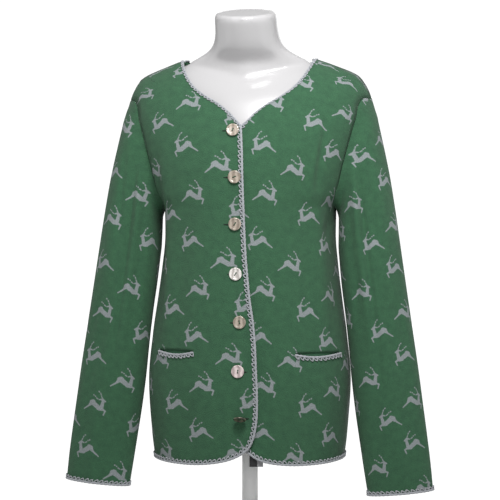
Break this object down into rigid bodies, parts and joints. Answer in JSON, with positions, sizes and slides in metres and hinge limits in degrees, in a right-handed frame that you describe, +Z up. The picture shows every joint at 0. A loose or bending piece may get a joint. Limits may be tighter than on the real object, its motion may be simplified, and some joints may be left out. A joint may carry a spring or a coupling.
{
  "type": "cardigan on a limbless dress form",
  "caption": "Buttoned felted-wool cardigan with long set-in sleeves, V neck, slit pockets and stitched edgings, standing on a glossy headless dress form with pole and round base.",
  "frame": {"origin": "middle of the base plate's underside, on the surface that the form stands on", "axes": "+Z up, -Y is the front of the cardigan, +X is the wearer's left"},
  "size_m": [0.5876, 0.3, 0.838],
  "materials": {
    "wool_knit": "felted jacquard wool knit, matt with a short nap, leaping stags in grey on green",
    "edging_yarn": "pale grey wool yarn in blanket stitch",
    "pearl_button": "polished mother-of-pearl, cloudy taupe to white",
    "label_ribbon": "blank woven satin ribbon",
    "form_gloss": "glossy white lacquered shell",
    "pole_metal": "pale grey enamelled tube",
    "base_enamel": "white enamelled steel plate"
  },
  "bodies": {
    "root": {"back": "wool_knit", "front_right": "wool_knit", "front_left": "wool_knit", "sleeve_right": "wool_knit", "sleeve_left": "wool_knit", "pocket_bag_right": "wool_knit", "pocket_bag_left": "wool_knit", "edging_front_right": "edging_yarn", "edging_front_left": "edging_yarn", "edging_pocket_right": "edging_yarn", "edging_pocket_left": "edging_yarn", "edging_cuff_right": "edging_yarn", "edging_cuff_left": "edging_yarn", "edging_back_neck": "edging_yarn", "edging_back_hem": "edging_yarn", "button_1": "pearl_button", "button_2": "pearl_button", "button_3": "pearl_button", "button_4": "pearl_button", "button_5": "pearl_button", "button_6": "pearl_button", "button_7": "pearl_button", "care_label": "label_ribbon", "form_torso": "form_gloss", "form_pole": "pole_metal", "form_base": "base_enamel"}
  },
  "joints": []
}
